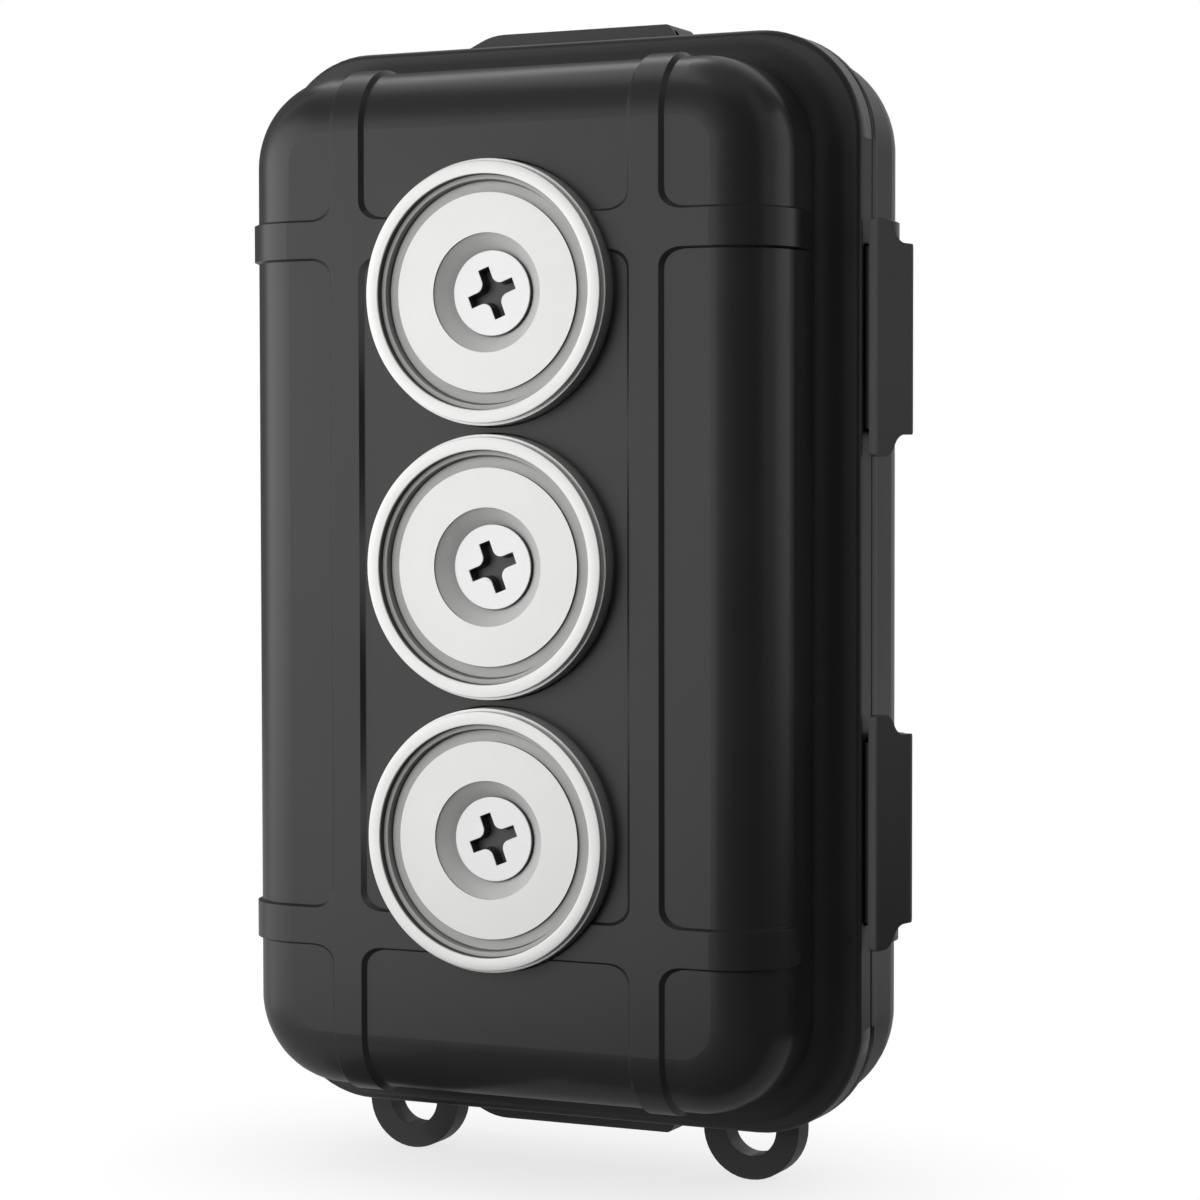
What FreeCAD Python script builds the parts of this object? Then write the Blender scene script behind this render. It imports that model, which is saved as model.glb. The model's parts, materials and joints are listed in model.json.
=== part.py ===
"""Magnetic key holder box: a two-part case with three screwed-on pot magnets.

Frame, in millimetres: X across the case, towards the latches; Y into its depth; Z along its
height, away from the lanyard loops. The origin lies in the plane in which the three magnets
touch a steel surface, in line with the middle of the case.
"""
import FreeCAD, Part
import math
import os
import re
import Sketcher

from FreeCAD import Placement, Rotation, Vector

SIZES = {
    # case: one joint plane, a base towards the magnets and a lid behind it
    "case_width": 81.2,
    "case_height": 135.0,
    "case_corner": 13.5,
    "base_depth": 22.0,
    "base_inset_sides": 4.6,
    "base_inset_ends": 4.15,
    "base_corner": 11.4,
    "flange_depth": 4.0,
    "flange_cove": 3.2,
    "flange_edge": 0.7,
    "flange_land": 0.2,
    "lid_depth": 18.0,
    "lid_inset": 1.1,
    "lid_corner": 13.0,
    "band_depth": 2.0,
    "band_cove": 0.5,
    "band_edge": 0.5,
    "band_land": 0.1,
    "face_round": 7.6,
    "base_wall": 2.2,
    "lid_wall": 2.4,
    # raised bands that cross on both faces, run over the rounded edges and dip into the sides
    "rib_height": 0.55,
    "rib_root": 0.5,
    "rib_dip": 6.0,
    "rib_sink": 0.15,
    "rib_corner": 3.0,
    "upright_inset": 13.95,
    "upright_width": 3.8,
    "upright_flank": 0.5,
    "crossbar_inset": 18.6,
    "crossbar_width": 4.5,
    "crossbar_flank": 0.25,
    # seal between the two halves
    "groove_width": 1.7,
    "groove_roof": 0.4,
    "groove_inset": 0.8,
    "tongue_width": 1.0,
    "tongue_rise": 0.7,
    "gasket_play": 0.05,
    # pot magnets
    "magnet_stand": 2.7,
    "magnet_diameter": 32.0,
    "magnet_depth": 7.0,
    "magnet_gap": 1.0,
    "magnet_lift": 2.4,
    "pocket_play": 0.2,
    "pocket_wall": 2.2,
    "cup_rim": 1.75,
    "cup_floor": 2.0,
    "cup_edge": 0.4,
    "ring_diameter": 24.0,
    "ring_bore": 14.4,
    "ring_drop": 1.4,
    "potting_drop": 2.5,
    # screws that hold the magnets, with their nuts inside the case
    "head_drop": 2.9,
    "head_edge": 0.5,
    "head_diameter": 10.3,
    "screw_diameter": 5.0,
    "screw_play": 0.25,
    "recess_span": 6.3,
    "recess_width": 1.45,
    "recess_corner": 1.1,
    "recess_depth": 1.7,
    "recess_taper": 5.0,
    "recess_turn": 21.0,
    "seal_thickness": 1.0,
    "seal_diameter": 11.0,
    "washer_thickness": 1.0,
    "washer_diameter": 10.0,
    "nut_width": 8.0,
    "nut_height": 4.0,
    "screw_tail": 1.0,
    # hinge on the side that faces away from the latches
    "fitting_spacing": 60.0,
    "hinge_offset": 2.3,
    "hinge_barrel": 2.0,
    "hinge_length": 24.0,
    "lid_knuckle": 12.0,
    "knuckle_gap": 0.25,
    "hinge_pin": 2.0,
    "pin_play": 0.05,
    # latches, each turning on a pin in a lug of the lid
    "latch_pin": 1.5,
    "latch_pivot_x": 0.4,
    "latch_pivot_y": 5.5,
    "latch_outer": 2.75,
    "latch_skin": 1.0,
    "latch_lean": 11.0,
    "latch_reach": 7.95,
    "latch_wrap": 26.0,
    "latch_length": 28.7,
    "latch_tail": 23.3,
    "latch_ease": 4.8,
    "latch_neck": 1.2,
    "latch_corner": 0.6,
    "cheek_width": 2.4,
    "cheek_drop": 2.9,
    "cheek_play": 0.25,
    "lug_play": 0.25,
    "tooth_length": 22.0,
    "tooth_height": 1.0,
    "tooth_reach": 1.3,
    "tooth_inset": 0.25,
    "slot_play": 0.3,
    "slot_depth": 1.1,
    # lanyard loops and grip pads on the short sides
    "loop_spacing": 47.8,
    "loop_radius": 6.4,
    "loop_bore": 3.4,
    "loop_depth": 3.45,
    "loop_drop": 0.8,
    "pad_flat": 24.8,
    "pad_far_slope": 6.2,
    "pad_far_round": 8.0,
    "pad_near_slope": 1.8,
    "pad_near_round": 0.8,
    "pad_rise": 2.4,
    "pad_depth": 7.0,
    "pad_setback": 0.9,
    "pad_hole": 1.0,
    "pad_hole_depth": 4.0,
    "pad_hole_drop": 1.2,
}

doc = FreeCAD.newDocument("key_box")
sheet = doc.addObject("Spreadsheet::Sheet", "sizes")
for row, (alias, value) in enumerate(SIZES.items(), start=1):
    sheet.set(f"A{row}", alias)
    sheet.set(f"B{row}", str(value))
    sheet.setAlias(f"B{row}", alias)
doc.recompute()

# Rules are sums of sheet words. These are the planes and centres that several pieces share.
BASE_FACE = "(magnet_stand + rib_height)"
PARTING = "(magnet_stand + base_depth)"
LID_FACE = "(magnet_stand + base_depth + lid_depth - rib_height)"
LID_BAND = "(magnet_stand + base_depth + band_depth)"
BASE_WIDTH = "(case_width - 2 * base_inset_sides)"
BASE_HEIGHT = "(case_height - 2 * base_inset_ends)"
LID_WIDTH = "(case_width - 2 * lid_inset)"
LID_HEIGHT = "(case_height - 2 * lid_inset)"
PITCH = "(magnet_diameter + magnet_gap)"
POCKET_TOP = "(magnet_depth + pocket_wall)"
GROOVE_SHIFT = "(groove_inset - lid_wall)"
GROOVE_WIDTH = f"({LID_WIDTH} + 2 * {GROOVE_SHIFT})"
GROOVE_HEIGHT = f"({LID_HEIGHT} + 2 * {GROOVE_SHIFT})"
GROOVE_CORNER = f"(lid_corner + {GROOVE_SHIFT})"
GROOVE_DEPTH = "(band_depth - groove_roof)"
HINGE_X = "(-case_width / 2 - hinge_offset)"
LATCH_X = "(case_width / 2 + latch_pivot_x)"
LATCH_Y = "(magnet_stand + base_depth + latch_pivot_y)"
LATCH_INNER = "(latch_outer - latch_skin)"
LOOP_Z = "(-case_height / 2 - loop_drop)"
SCREW_END = f"({POCKET_TOP} + seal_thickness + washer_thickness + nut_height + screw_tail)"
SHANK = "(screw_diameter / 2)"
SEAT = "(head_drop + head_edge)"
POTTING_RADIUS = "(magnet_diameter / 2 - cup_rim)"
POCKET = "(magnet_diameter / 2 + pocket_play)"
HOLE = "(screw_diameter / 2 + screw_play)"

probe = doc.addObject("App::FeaturePython", "probe")
probe.addProperty("App::PropertyFloat", "Value")


def rule(text):
    """Point every word of a size rule at its cell in the sheet."""
    return re.sub(r"\b[a-z][a-z_]*\b(?!\()", lambda word: "sizes." + word.group(), text)


def number(text):
    """Work a size rule out."""
    probe.setExpression("Value", rule(text))
    probe.recompute()
    return probe.Value


def bind(item, **rules):
    """Tie properties of an object to size rules."""
    for name, text in rules.items():
        item.setExpression(name, rule(text))
    return item


def place(item, x="0", y="0", z="0", rotation=None):
    """Put an object at a point given by rules."""
    if rotation is not None:
        item.Placement = Placement(Vector(), rotation)
    for axis, text in (("x", x), ("y", y), ("z", z)):
        item.setExpression(f"Placement.Base.{axis}", rule(text))
    return item


ALONG_Y = Rotation(Vector(1, 0, 0), -90)
TOLERANCE = 1e-3


def disc(name, radius, start, end, x="0", z="0"):
    """A cylinder along Y from one depth to another."""
    item = bind(doc.addObject("Part::Cylinder", name), Radius=radius, Height=f"{end} - ({start})")
    return place(item, x, start, z, ALONG_Y)


def cone(name, front, back, start, end, z="0"):
    """A cone along Y from one depth and radius to another."""
    item = doc.addObject("Part::Cone", name)
    bind(item, Radius1=front, Radius2=back, Height=f"{end} - ({start})")
    return place(item, "0", start, z, ALONG_Y)


def rod(name, radius, start, end, x="0", y="0"):
    """A cylinder along Z."""
    item = bind(doc.addObject("Part::Cylinder", name), Radius=radius, Height=f"{end} - ({start})")
    return place(item, x, y, start)


def block(name, x, y, z):
    """A box between pairs of rules."""
    item = doc.addObject("Part::Box", name)
    spans = [f"{end} - ({start})" for start, end in (x, y, z)]
    bind(item, Length=spans[0], Width=spans[1], Height=spans[2])
    return place(item, x[0], y[0], z[0])


def fuse(name, *items):
    """Join objects into one."""
    made = doc.addObject("Part::MultiFuse", name)
    made.Shapes = list(items)
    made.Refine = True
    return made


def cut(name, base, *tools):
    """Take tools away from a base."""
    made = doc.addObject("Part::Cut", name)
    made.Base = base
    made.Tool = tools[0] if len(tools) == 1 else fuse(name + "_tools", *tools)
    made.Refine = True
    return made


def common(name, *items):
    """Keep what objects share."""
    made = doc.addObject("Part::MultiCommon", name)
    made.Shapes = list(items)
    return made


def group(name, items):
    """Hold separate solids in one sub-part."""
    made = doc.addObject("Part::Compound", name)
    made.Links = items
    return made


def arc_between(start, end, radius, side):
    """The short arc between two points, its centre on the left (1) or right (-1) of travel."""
    chord = end - start
    normal = Vector(-chord.y, chord.x, 0).normalize()
    rise = math.sqrt(max(radius ** 2 - chord.Length ** 2 / 4, 0))
    middle = (start + end) / 2 + normal * side * (rise - radius)
    return Part.Arc(start, middle, end)


def draw(sketch, path, closed=True):
    """Draw a wire through corners given by rules, every corner and radius bound to them.

    A corner is (x, y) at the end of a straight edge, or (x, y, radius, side) at that of an arc.
    """
    points = [Vector(number(corner[0]), number(corner[1]), 0) for corner in path]
    path = path if closed else path[1:]
    points = points if closed else points[1:] + points[:1]
    edges = []
    for place_in_path, corner in enumerate(path):
        start, end = points[place_in_path - 1], points[place_in_path]
        if len(corner) == 2:
            edge = sketch.addGeometry(Part.LineSegment(start, end), False)
        else:
            edge = sketch.addGeometry(arc_between(start, end, number(corner[2]), corner[3]), False)
            limit(sketch, corner[2], "Radius", edge)
        first, second = (sketch.getPoint(edge, end_of_edge) for end_of_edge in (1, 2))
        forward = first.distanceToPoint(start) < second.distanceToPoint(start)
        edges.append((edge, 1, 2) if forward else (edge, 2, 1))
    for place_in_path, corner in enumerate(path):
        edge, _, tip = edges[place_in_path]
        follower, root, _ = edges[(place_in_path + 1) % len(edges)]
        if closed or place_in_path + 1 < len(edges):
            sketch.addConstraint(Sketcher.Constraint("Coincident", edge, tip, follower, root))
        limit(sketch, corner[0], "DistanceX", -1, 1, edge, tip)
        limit(sketch, corner[1], "DistanceY", -1, 1, edge, tip)
    return sketch


def limit(sketch, text, kind, *where):
    """Add one size to a sketch and bind it to its rule."""
    value = number(text)
    if kind != "Radius" and abs(value) < TOLERANCE:
        axis = -2 if kind == "DistanceX" else -1
        sketch.addConstraint(Sketcher.Constraint("PointOnObject", where[2], where[3], axis))
        return
    index = sketch.addConstraint(Sketcher.Constraint(kind, *where, value))
    sketch.setExpression(f"Constraints[{index}]", rule(text))


def rounded(width, height, corner):
    """The path of a rectangle with round corners about the origin."""
    across, up = f"({width}) / 2", f"({height}) / 2"
    inner_across, inner_up = f"{across} - ({corner})", f"{up} - ({corner})"
    path = []
    for right, top in ((1, -1), (1, 1), (-1, 1), (-1, -1)):
        side = [f"{right} * ({across})", f"{top} * ({inner_up})"]
        end = [f"{right} * ({inner_across})", f"{top} * ({up})"]
        first, second = (end, side) if right * top < 0 else (side, end)
        path += [tuple(first), (*second, corner, 1)]
    return path


def body_for(name):
    """A new body."""
    return doc.addObject("PartDesign::Body", name)


def sketch_on(body, role, level):
    """A sketch parallel to one of the body's own planes, at a level given by a rule."""
    sketch = body.newObject("Sketcher::SketchObject", body.Name + "_sketch")
    plane = next(item for item in body.Origin.OriginFeatures if item.Role == role)
    sketch.AttachmentSupport = (plane, [""])
    sketch.MapMode = "FlatFace"
    sketch.setExpression("AttachmentOffset.Base.z", rule(level))
    return sketch


def pad(body, sketch, length, back=False, taper=None):
    """Raise a sketch, against its plane's normal if back is set."""
    made = body.newObject("PartDesign::Pad", body.Name + "_pad")
    made.Profile = sketch
    made.Reversed = back
    bind(made, Length=length)
    if taper is not None:
        bind(made, TaperAngle=taper)
    doc.recompute()
    return made


def fillet(body, radius, chosen):
    """Round the edges of the body's last feature that pass a test."""
    base = body.Tip
    names = [f"Edge{n}" for n, edge in enumerate(base.Shape.Edges, start=1) if chosen(edge)]
    made = body.newObject("PartDesign::Fillet", body.Name + "_fillet")
    made.Base = (base, names)
    bind(made, Radius=radius)
    doc.recompute()
    return made


def lies_at(level, size=None, beyond=False):
    """A test for edges in one plane across Y, on or beyond the outline of a rounded block."""
    depth = number(level)
    width, height, corner = (number(item) for item in size or ("0", "0", "0"))

    def chosen(edge):
        bounds = edge.BoundBox
        if abs(bounds.YMin - depth) > TOLERANCE or abs(bounds.YMax - depth) > TOLERANCE:
            return False
        middle = edge.valueAt((edge.FirstParameter + edge.LastParameter) / 2)
        across = abs(middle.x) - width / 2 + corner
        up = abs(middle.z) - height / 2 + corner
        distance = math.hypot(max(across, 0), max(up, 0)) + min(max(across, up), 0) - corner
        return size is None or (distance > TOLERANCE) == beyond
    return chosen


def stands_at(across, up):
    """A test for edges along Y through one point of the XZ plane."""
    x, z = number(across), number(up)

    def chosen(edge):
        bounds = edge.BoundBox
        near = max(abs(bounds.XMin - x), abs(bounds.XMax - x), abs(bounds.ZMin - z), abs(bounds.ZMax - z))
        return near < TOLERANCE
    return chosen


def half(name, away, block_size, depth, band_depth, cove, edge):
    """The outside of one half: a rounded block that ends in the flange at the joint plane."""
    body = body_for(name)
    flange = sketch_on(body, "XZ_Plane", f"-{PARTING}")
    draw(flange, rounded("case_width", "case_height", "case_corner"))
    pad(body, flange, band_depth, back=away)
    wall = draw(sketch_on(body, "XZ_Plane", f"-{PARTING}"), rounded(*block_size))
    pad(body, wall, depth, back=away)
    sign = "+" if away else "-"
    fillet(body, "face_round", lies_at(f"{PARTING} {sign} ({depth})"))
    step = f"{PARTING} {sign} {band_depth}"
    fillet(body, edge, lies_at(step, block_size, beyond=True))
    fillet(body, cove, lies_at(step, block_size))
    return body


def swept_band(name, kind, place_across, reach, depth_of):
    """Half of one raised band, from the middle of a face over its rounded edge into the side.

    Its section is a trapezoid with sloping flanks. It follows the wall and then dips into it.
    """
    body = body_for(name)
    upright = kind == "upright"
    foot = f"({kind}_flank * (1 + rib_root / rib_height))"
    low, high = f"({place_across} - {kind}_width / 2)", f"({place_across} + {kind}_width / 2)"
    section = sketch_on(body, "XY_Plane" if upright else "YZ_Plane", "0")
    corners = [(f"({low} - {foot})", depth_of("rib_root")), (f"({high} + {foot})", depth_of("rib_root")),
               (high, depth_of("(-rib_height)")), (low, depth_of("(-rib_height)"))]
    draw(section, corners if upright else [(depth, across) for across, depth in corners])
    bend = f"({reach} - face_round)"
    end_of_bend = (f"({bend} + face_round * cos(rib_dip))", "(face_round + face_round * sin(rib_dip))")
    run = "((rib_height + rib_sink - face_round * (1 - cos(rib_dip))) / sin(rib_dip))"
    tail = (f"({end_of_bend[0]} - {run} * sin(rib_dip))", f"({end_of_bend[1]} + {run} * cos(rib_dip))")
    stations = [("0", "0"), (bend, "0"), end_of_bend, tail]
    points = [(along, depth_of(depth)) for along, depth in stations]
    points = [(depth, along) for along, depth in points] if upright else points
    side = 1 if number(depth_of("1")) > number(depth_of("0")) else -1
    side = -side if upright else side
    points[2] = (*points[2], "face_round", side)
    path = sketch_on(body, "YZ_Plane" if upright else "XY_Plane", place_across)
    draw(path, points, closed=False)
    doc.recompute()
    made = body.newObject("PartDesign::AdditivePipe", f"{name}_pipe")
    made.Profile = section
    made.Spine = (path, ["Edge1", "Edge2", "Edge3"])
    doc.recompute()
    return body


def bands(name, size, depth_of):
    """Two upright and two level bands, with filleted crossings, over one face and its sides."""
    half_width, half_height = f"({size[0]}) / 2", f"({size[1]}) / 2"
    across = f"({BASE_WIDTH} / 2 - upright_inset - upright_width / 2)"
    up = f"({BASE_HEIGHT} / 2 - crossbar_inset - crossbar_width / 2)"
    upright = swept_band(f"{name}_upright", "upright", across, half_height, depth_of)
    crossbar = swept_band(f"{name}_crossbar", "crossbar", up, half_width, depth_of)
    quarter = fuse(f"{name}_crossed", upright, crossbar)
    doc.recompute()
    body = body_for(f"{name}_crossing")
    body.BaseFeature = quarter
    doc.recompute()
    near_x, near_z = number(across), number(up)
    height = number("rib_height + rib_root")
    reach = number("upright_width + crossbar_width")

    def at_crossing(edge):
        bounds = edge.BoundBox
        middle = bounds.Center
        close = abs(middle.x - near_x) < reach and abs(middle.z - near_z) < reach
        return close and abs(bounds.YLength - height) < TOLERANCE
    fillet(body, "rib_corner", at_crossing)
    right = fuse(f"{name}_right", body, mirrored(f"{name}_below", body, Vector(0, 0, 1)))
    return fuse(name, right, mirrored(f"{name}_left", right, Vector(1, 0, 0)))


def mirrored(name, source, normal):
    """An object's mirror image in a plane through the origin."""
    made = doc.addObject("Part::Mirroring", name)
    made.Source = source
    made.Normal = normal
    return made


def widened(size, rise):
    """A block size with the rise of the bands added all round."""
    width, height, corner = size
    return (f"({width} + 2 * {rise})", f"({height} + 2 * {rise})", f"({corner} + {rise})")


def hollow(name, size, wall, away, floor):
    """The space inside one half, with its floor edge rounded."""
    width, height, corner = size
    inner = (f"({width} - 2 * {wall})", f"({height} - 2 * {wall})", f"({corner} - {wall})")
    depth = f"({floor} - {PARTING})" if away else f"({PARTING} - {floor})"
    body = body_for(name)
    sketch = draw(sketch_on(body, "XZ_Plane", f"-{PARTING}"), rounded(*inner))
    pad(body, sketch, depth, back=away)
    fillet(body, f"face_round - {wall}", lies_at(floor))
    return body


def ring_along(name, size, thickness, start, depth):
    """A closed rectangular strip of constant thickness that rises from a plane towards the lid."""
    body = body_for(name)
    sketch = sketch_on(body, "XZ_Plane", f"-({start})")
    draw(sketch, rounded(*widened(size, thickness)))
    draw(sketch, rounded(*size))
    pad(body, sketch, depth, back=True)
    return body


BASE_SIZE = (BASE_WIDTH, BASE_HEIGHT, "base_corner")
LID_SIZE = (LID_WIDTH, LID_HEIGHT, "lid_corner")
GROOVE_SIZE = (GROOVE_WIDTH, GROOVE_HEIGHT, GROOVE_CORNER)
SIDES = (("upper", "fitting_spacing / 2"), ("lower", "-fitting_spacing / 2"))
MAGNETS = (
    ("upper", f"magnet_lift + {PITCH}"),
    ("middle", "magnet_lift"),
    ("lower", f"magnet_lift - {PITCH}"),
)


def ribbed(name, away, size, depth, band_depth, cove, edge):
    """The full outside of one half, with its raised bands."""
    plain = half(f"{name}_block", away, size, f"({depth} - rib_height)", band_depth, cove, edge)
    face, sign = (LID_FACE, "-") if away else (BASE_FACE, "+")
    raised = bands(f"{name}_bands", size, lambda depth_from_face: f"({face} {sign} {depth_from_face})")
    return fuse(f"{name}_outside", plain, raised)


def knuckle(name, start, end, sweep):
    """A length of hinge barrel with the web that carries it, on one side of the joint plane."""
    barrel = rod(f"{name}_barrel", "hinge_barrel", start, end, HINGE_X, PARTING)
    web = block(f"{name}_web", (HINGE_X, "-case_width / 2 + base_wall"), sweep, (start, end))
    return barrel, web


def hinge_ends(centre):
    """Where the knuckles of one hinge start and end along Z."""
    outer, inner = "hinge_length / 2", "lid_knuckle / 2"
    return {
        "low": (f"{centre} - {outer}", f"{centre} - {inner} - knuckle_gap"),
        "middle": (f"{centre} - {inner}", f"{centre} + {inner}"),
        "high": (f"{centre} + {inner} + knuckle_gap", f"{centre} + {outer}"),
    }


def make_base():
    """The half that carries the magnets, with its seal tongue, hinge knuckles and latch slots."""
    cove = "min(flange_cove; min(base_inset_ends; base_inset_sides) - flange_edge - flange_land)"
    outside = ribbed("base", False, BASE_SIZE, "base_depth", "flange_depth", cove, "flange_edge")
    tongue = ring_along("base_tongue", widened(GROOVE_SIZE, "((groove_width - tongue_width) / 2)"),
                        "tongue_width", f"{PARTING} - tongue_rise", "2 * tongue_rise")
    solids = [outside, tongue]
    tools = []
    floor = f"({BASE_FACE} + base_wall)"
    room = hollow("base_room", BASE_SIZE, "base_wall", False, floor)
    tower = f"{POCKET} + pocket_wall"
    towers = [disc(f"{name}_tower", tower, BASE_FACE, POCKET_TOP, z=z) for name, z in MAGNETS]
    room = cut("base_cavity", room, *towers)
    tools.append(room)
    for name, z in MAGNETS:
        tools.append(disc(f"{name}_pocket", POCKET, "-magnet_stand", "magnet_depth", z=z))
        tools.append(disc(f"{name}_hole", HOLE, "0", f"{POCKET_TOP} + pocket_wall", z=z))
    for name, centre in SIDES:
        spans = hinge_ends(centre)
        for end in ("low", "high"):
            solids += knuckle(f"{name}_{end}", *spans[end], (f"{PARTING} - hinge_barrel", PARTING))
        tools.append(rod(f"{name}_base_bore", "hinge_pin / 2 + pin_play", f"{centre} - hinge_length",
                         f"{centre} + hinge_length", HINGE_X, PARTING))
        reach = "(tooth_length / 2 + slot_play)"
        front = f"({LATCH_Y} - latch_reach + tooth_inset - 2 * slot_play)"
        tools.append(block(f"{name}_slot", ("case_width / 2 - slot_depth", "case_width"),
                           (front, f"{front} + tooth_height + 3 * slot_play"),
                           (f"{centre} - {reach}", f"{centre} + {reach}")))
    return cut("base_shell", fuse("base_solid", *solids), *tools)


def make_lid():
    """The half behind the joint plane, with its seal groove, latch lugs, loops and grip pads."""
    cove = "min(band_cove; lid_inset - band_edge - band_land)"
    outside = ribbed("lid", True, LID_SIZE, "lid_depth", "band_depth", cove, "band_edge")
    solids = [outside]
    tools = [hollow("lid_cavity", LID_SIZE, "lid_wall", True, f"({LID_FACE} - lid_wall)")]
    tools.append(ring_along("lid_groove", GROOVE_SIZE, "groove_width", f"{PARTING} - {GROOVE_DEPTH}",
                            f"2 * {GROOVE_DEPTH}"))
    for name, centre in SIDES:
        spans = hinge_ends(centre)
        solids += knuckle(f"{name}_lid", *spans["middle"], (PARTING, f"{PARTING} + hinge_barrel"))
        tools.append(rod(f"{name}_lid_bore", "hinge_pin / 2 + pin_play", f"{centre} - hinge_length",
                         f"{centre} + hinge_length", HINGE_X, PARTING))
        reach = "(latch_tail / 2 - cheek_width - cheek_play)"
        along = (f"{centre} - {reach}", f"{centre} + {reach}")
        radius = f"({LATCH_INNER} - lug_play)"
        solids.append(rod(f"{name}_lug", radius, *along, LATCH_X, LATCH_Y))
        solids.append(block(f"{name}_lug_root", (f"{LID_WIDTH} / 2 - lid_wall / 2", LATCH_X),
                            (f"{LATCH_Y} - {radius}", f"{LATCH_Y} + {radius}"), along))
        tools.append(rod(f"{name}_lug_bore", "latch_pin / 2 + pin_play", f"{centre} - latch_length",
                         f"{centre} + latch_length", LATCH_X, LATCH_Y))
        for side in ("-", "+"):
            middle = f"({centre} {side} (latch_tail / 2 - cheek_width / 2))"
            half_slot = "(cheek_width / 2 + cheek_play)"
            tools.append(rod(f"{name}_relief", f"({LATCH_INNER} + lug_play)", f"{middle} - {half_slot}",
                             f"{middle} + {half_slot}", LATCH_X, LATCH_Y))
    plain = cut("lid_plain", fuse("lid_solid", *solids), *tools)
    additions = []
    for name, side in (("left", "-"), ("right", "+")):
        x = f"({side} loop_spacing / 2)"
        back = f"({LID_BAND} + loop_depth)"
        eye = disc(f"{name}_loop_end", "loop_radius", LID_BAND, back, x, LOOP_Z)
        neck = block(f"{name}_loop_neck", (f"{x} - loop_radius", f"{x} + loop_radius"), (LID_BAND, back),
                     (LOOP_Z, f"-{LID_HEIGHT} / 2 + lid_wall / 2"))
        bore = disc(f"{name}_loop_bore", "loop_bore", PARTING, f"{back} + band_depth", x, LOOP_Z)
        land = block(f"{name}_loop_land", (f"{x} - loop_radius", f"{x} + loop_radius"), (LID_BAND, back),
                     (f"-{LID_HEIGHT} / 2", f"-{LID_HEIGHT} / 2 + lid_wall / 2"))
        additions += [cut(f"{name}_loop_ring", fuse(f"{name}_loop_blank", eye, neck), bore), land]
    for name, side in (("top", 1), ("bottom", -1)):
        body = body_for(f"{name}_pad_body")
        sketch = sketch_on(body, "XZ_Plane", f"-({LID_BAND} + pad_setback)")
        low = f"{side} * ({LID_HEIGHT} / 2 - lid_wall / 2)"
        high = f"{side} * (case_height / 2 + pad_rise)"
        foot = f"{side} * (case_height / 2 - band_edge)"
        far, near = "(-pad_flat / 2 - pad_far_slope)", "(pad_flat / 2 + pad_near_slope)"
        draw(sketch, [(far, low), (far, foot), ("-pad_flat / 2", high), ("pad_flat / 2", high),
                      (near, foot), (near, low)])
        pad(body, sketch, "pad_depth", back=True)
        for radius, corner in (("pad_far_round", "-pad_flat / 2"), ("pad_near_round", "pad_flat / 2")):
            fillet(body, radius, stands_at(corner, high))
        additions.append(body)
    hole = doc.addObject("Part::Cylinder", "pad_pin_hole")
    bind(hole, Radius="pad_hole / 2", Height="2 * pad_hole_depth")
    place(hole, "pad_flat / 2 - pad_hole_depth", f"{LID_BAND} + pad_setback + pad_hole",
          "case_height / 2 + pad_rise - pad_hole_drop", Rotation(Vector(0, 1, 0), 90))
    return cut("lid_shell", fuse("lid_whole", plain, *additions), hole)


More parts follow.
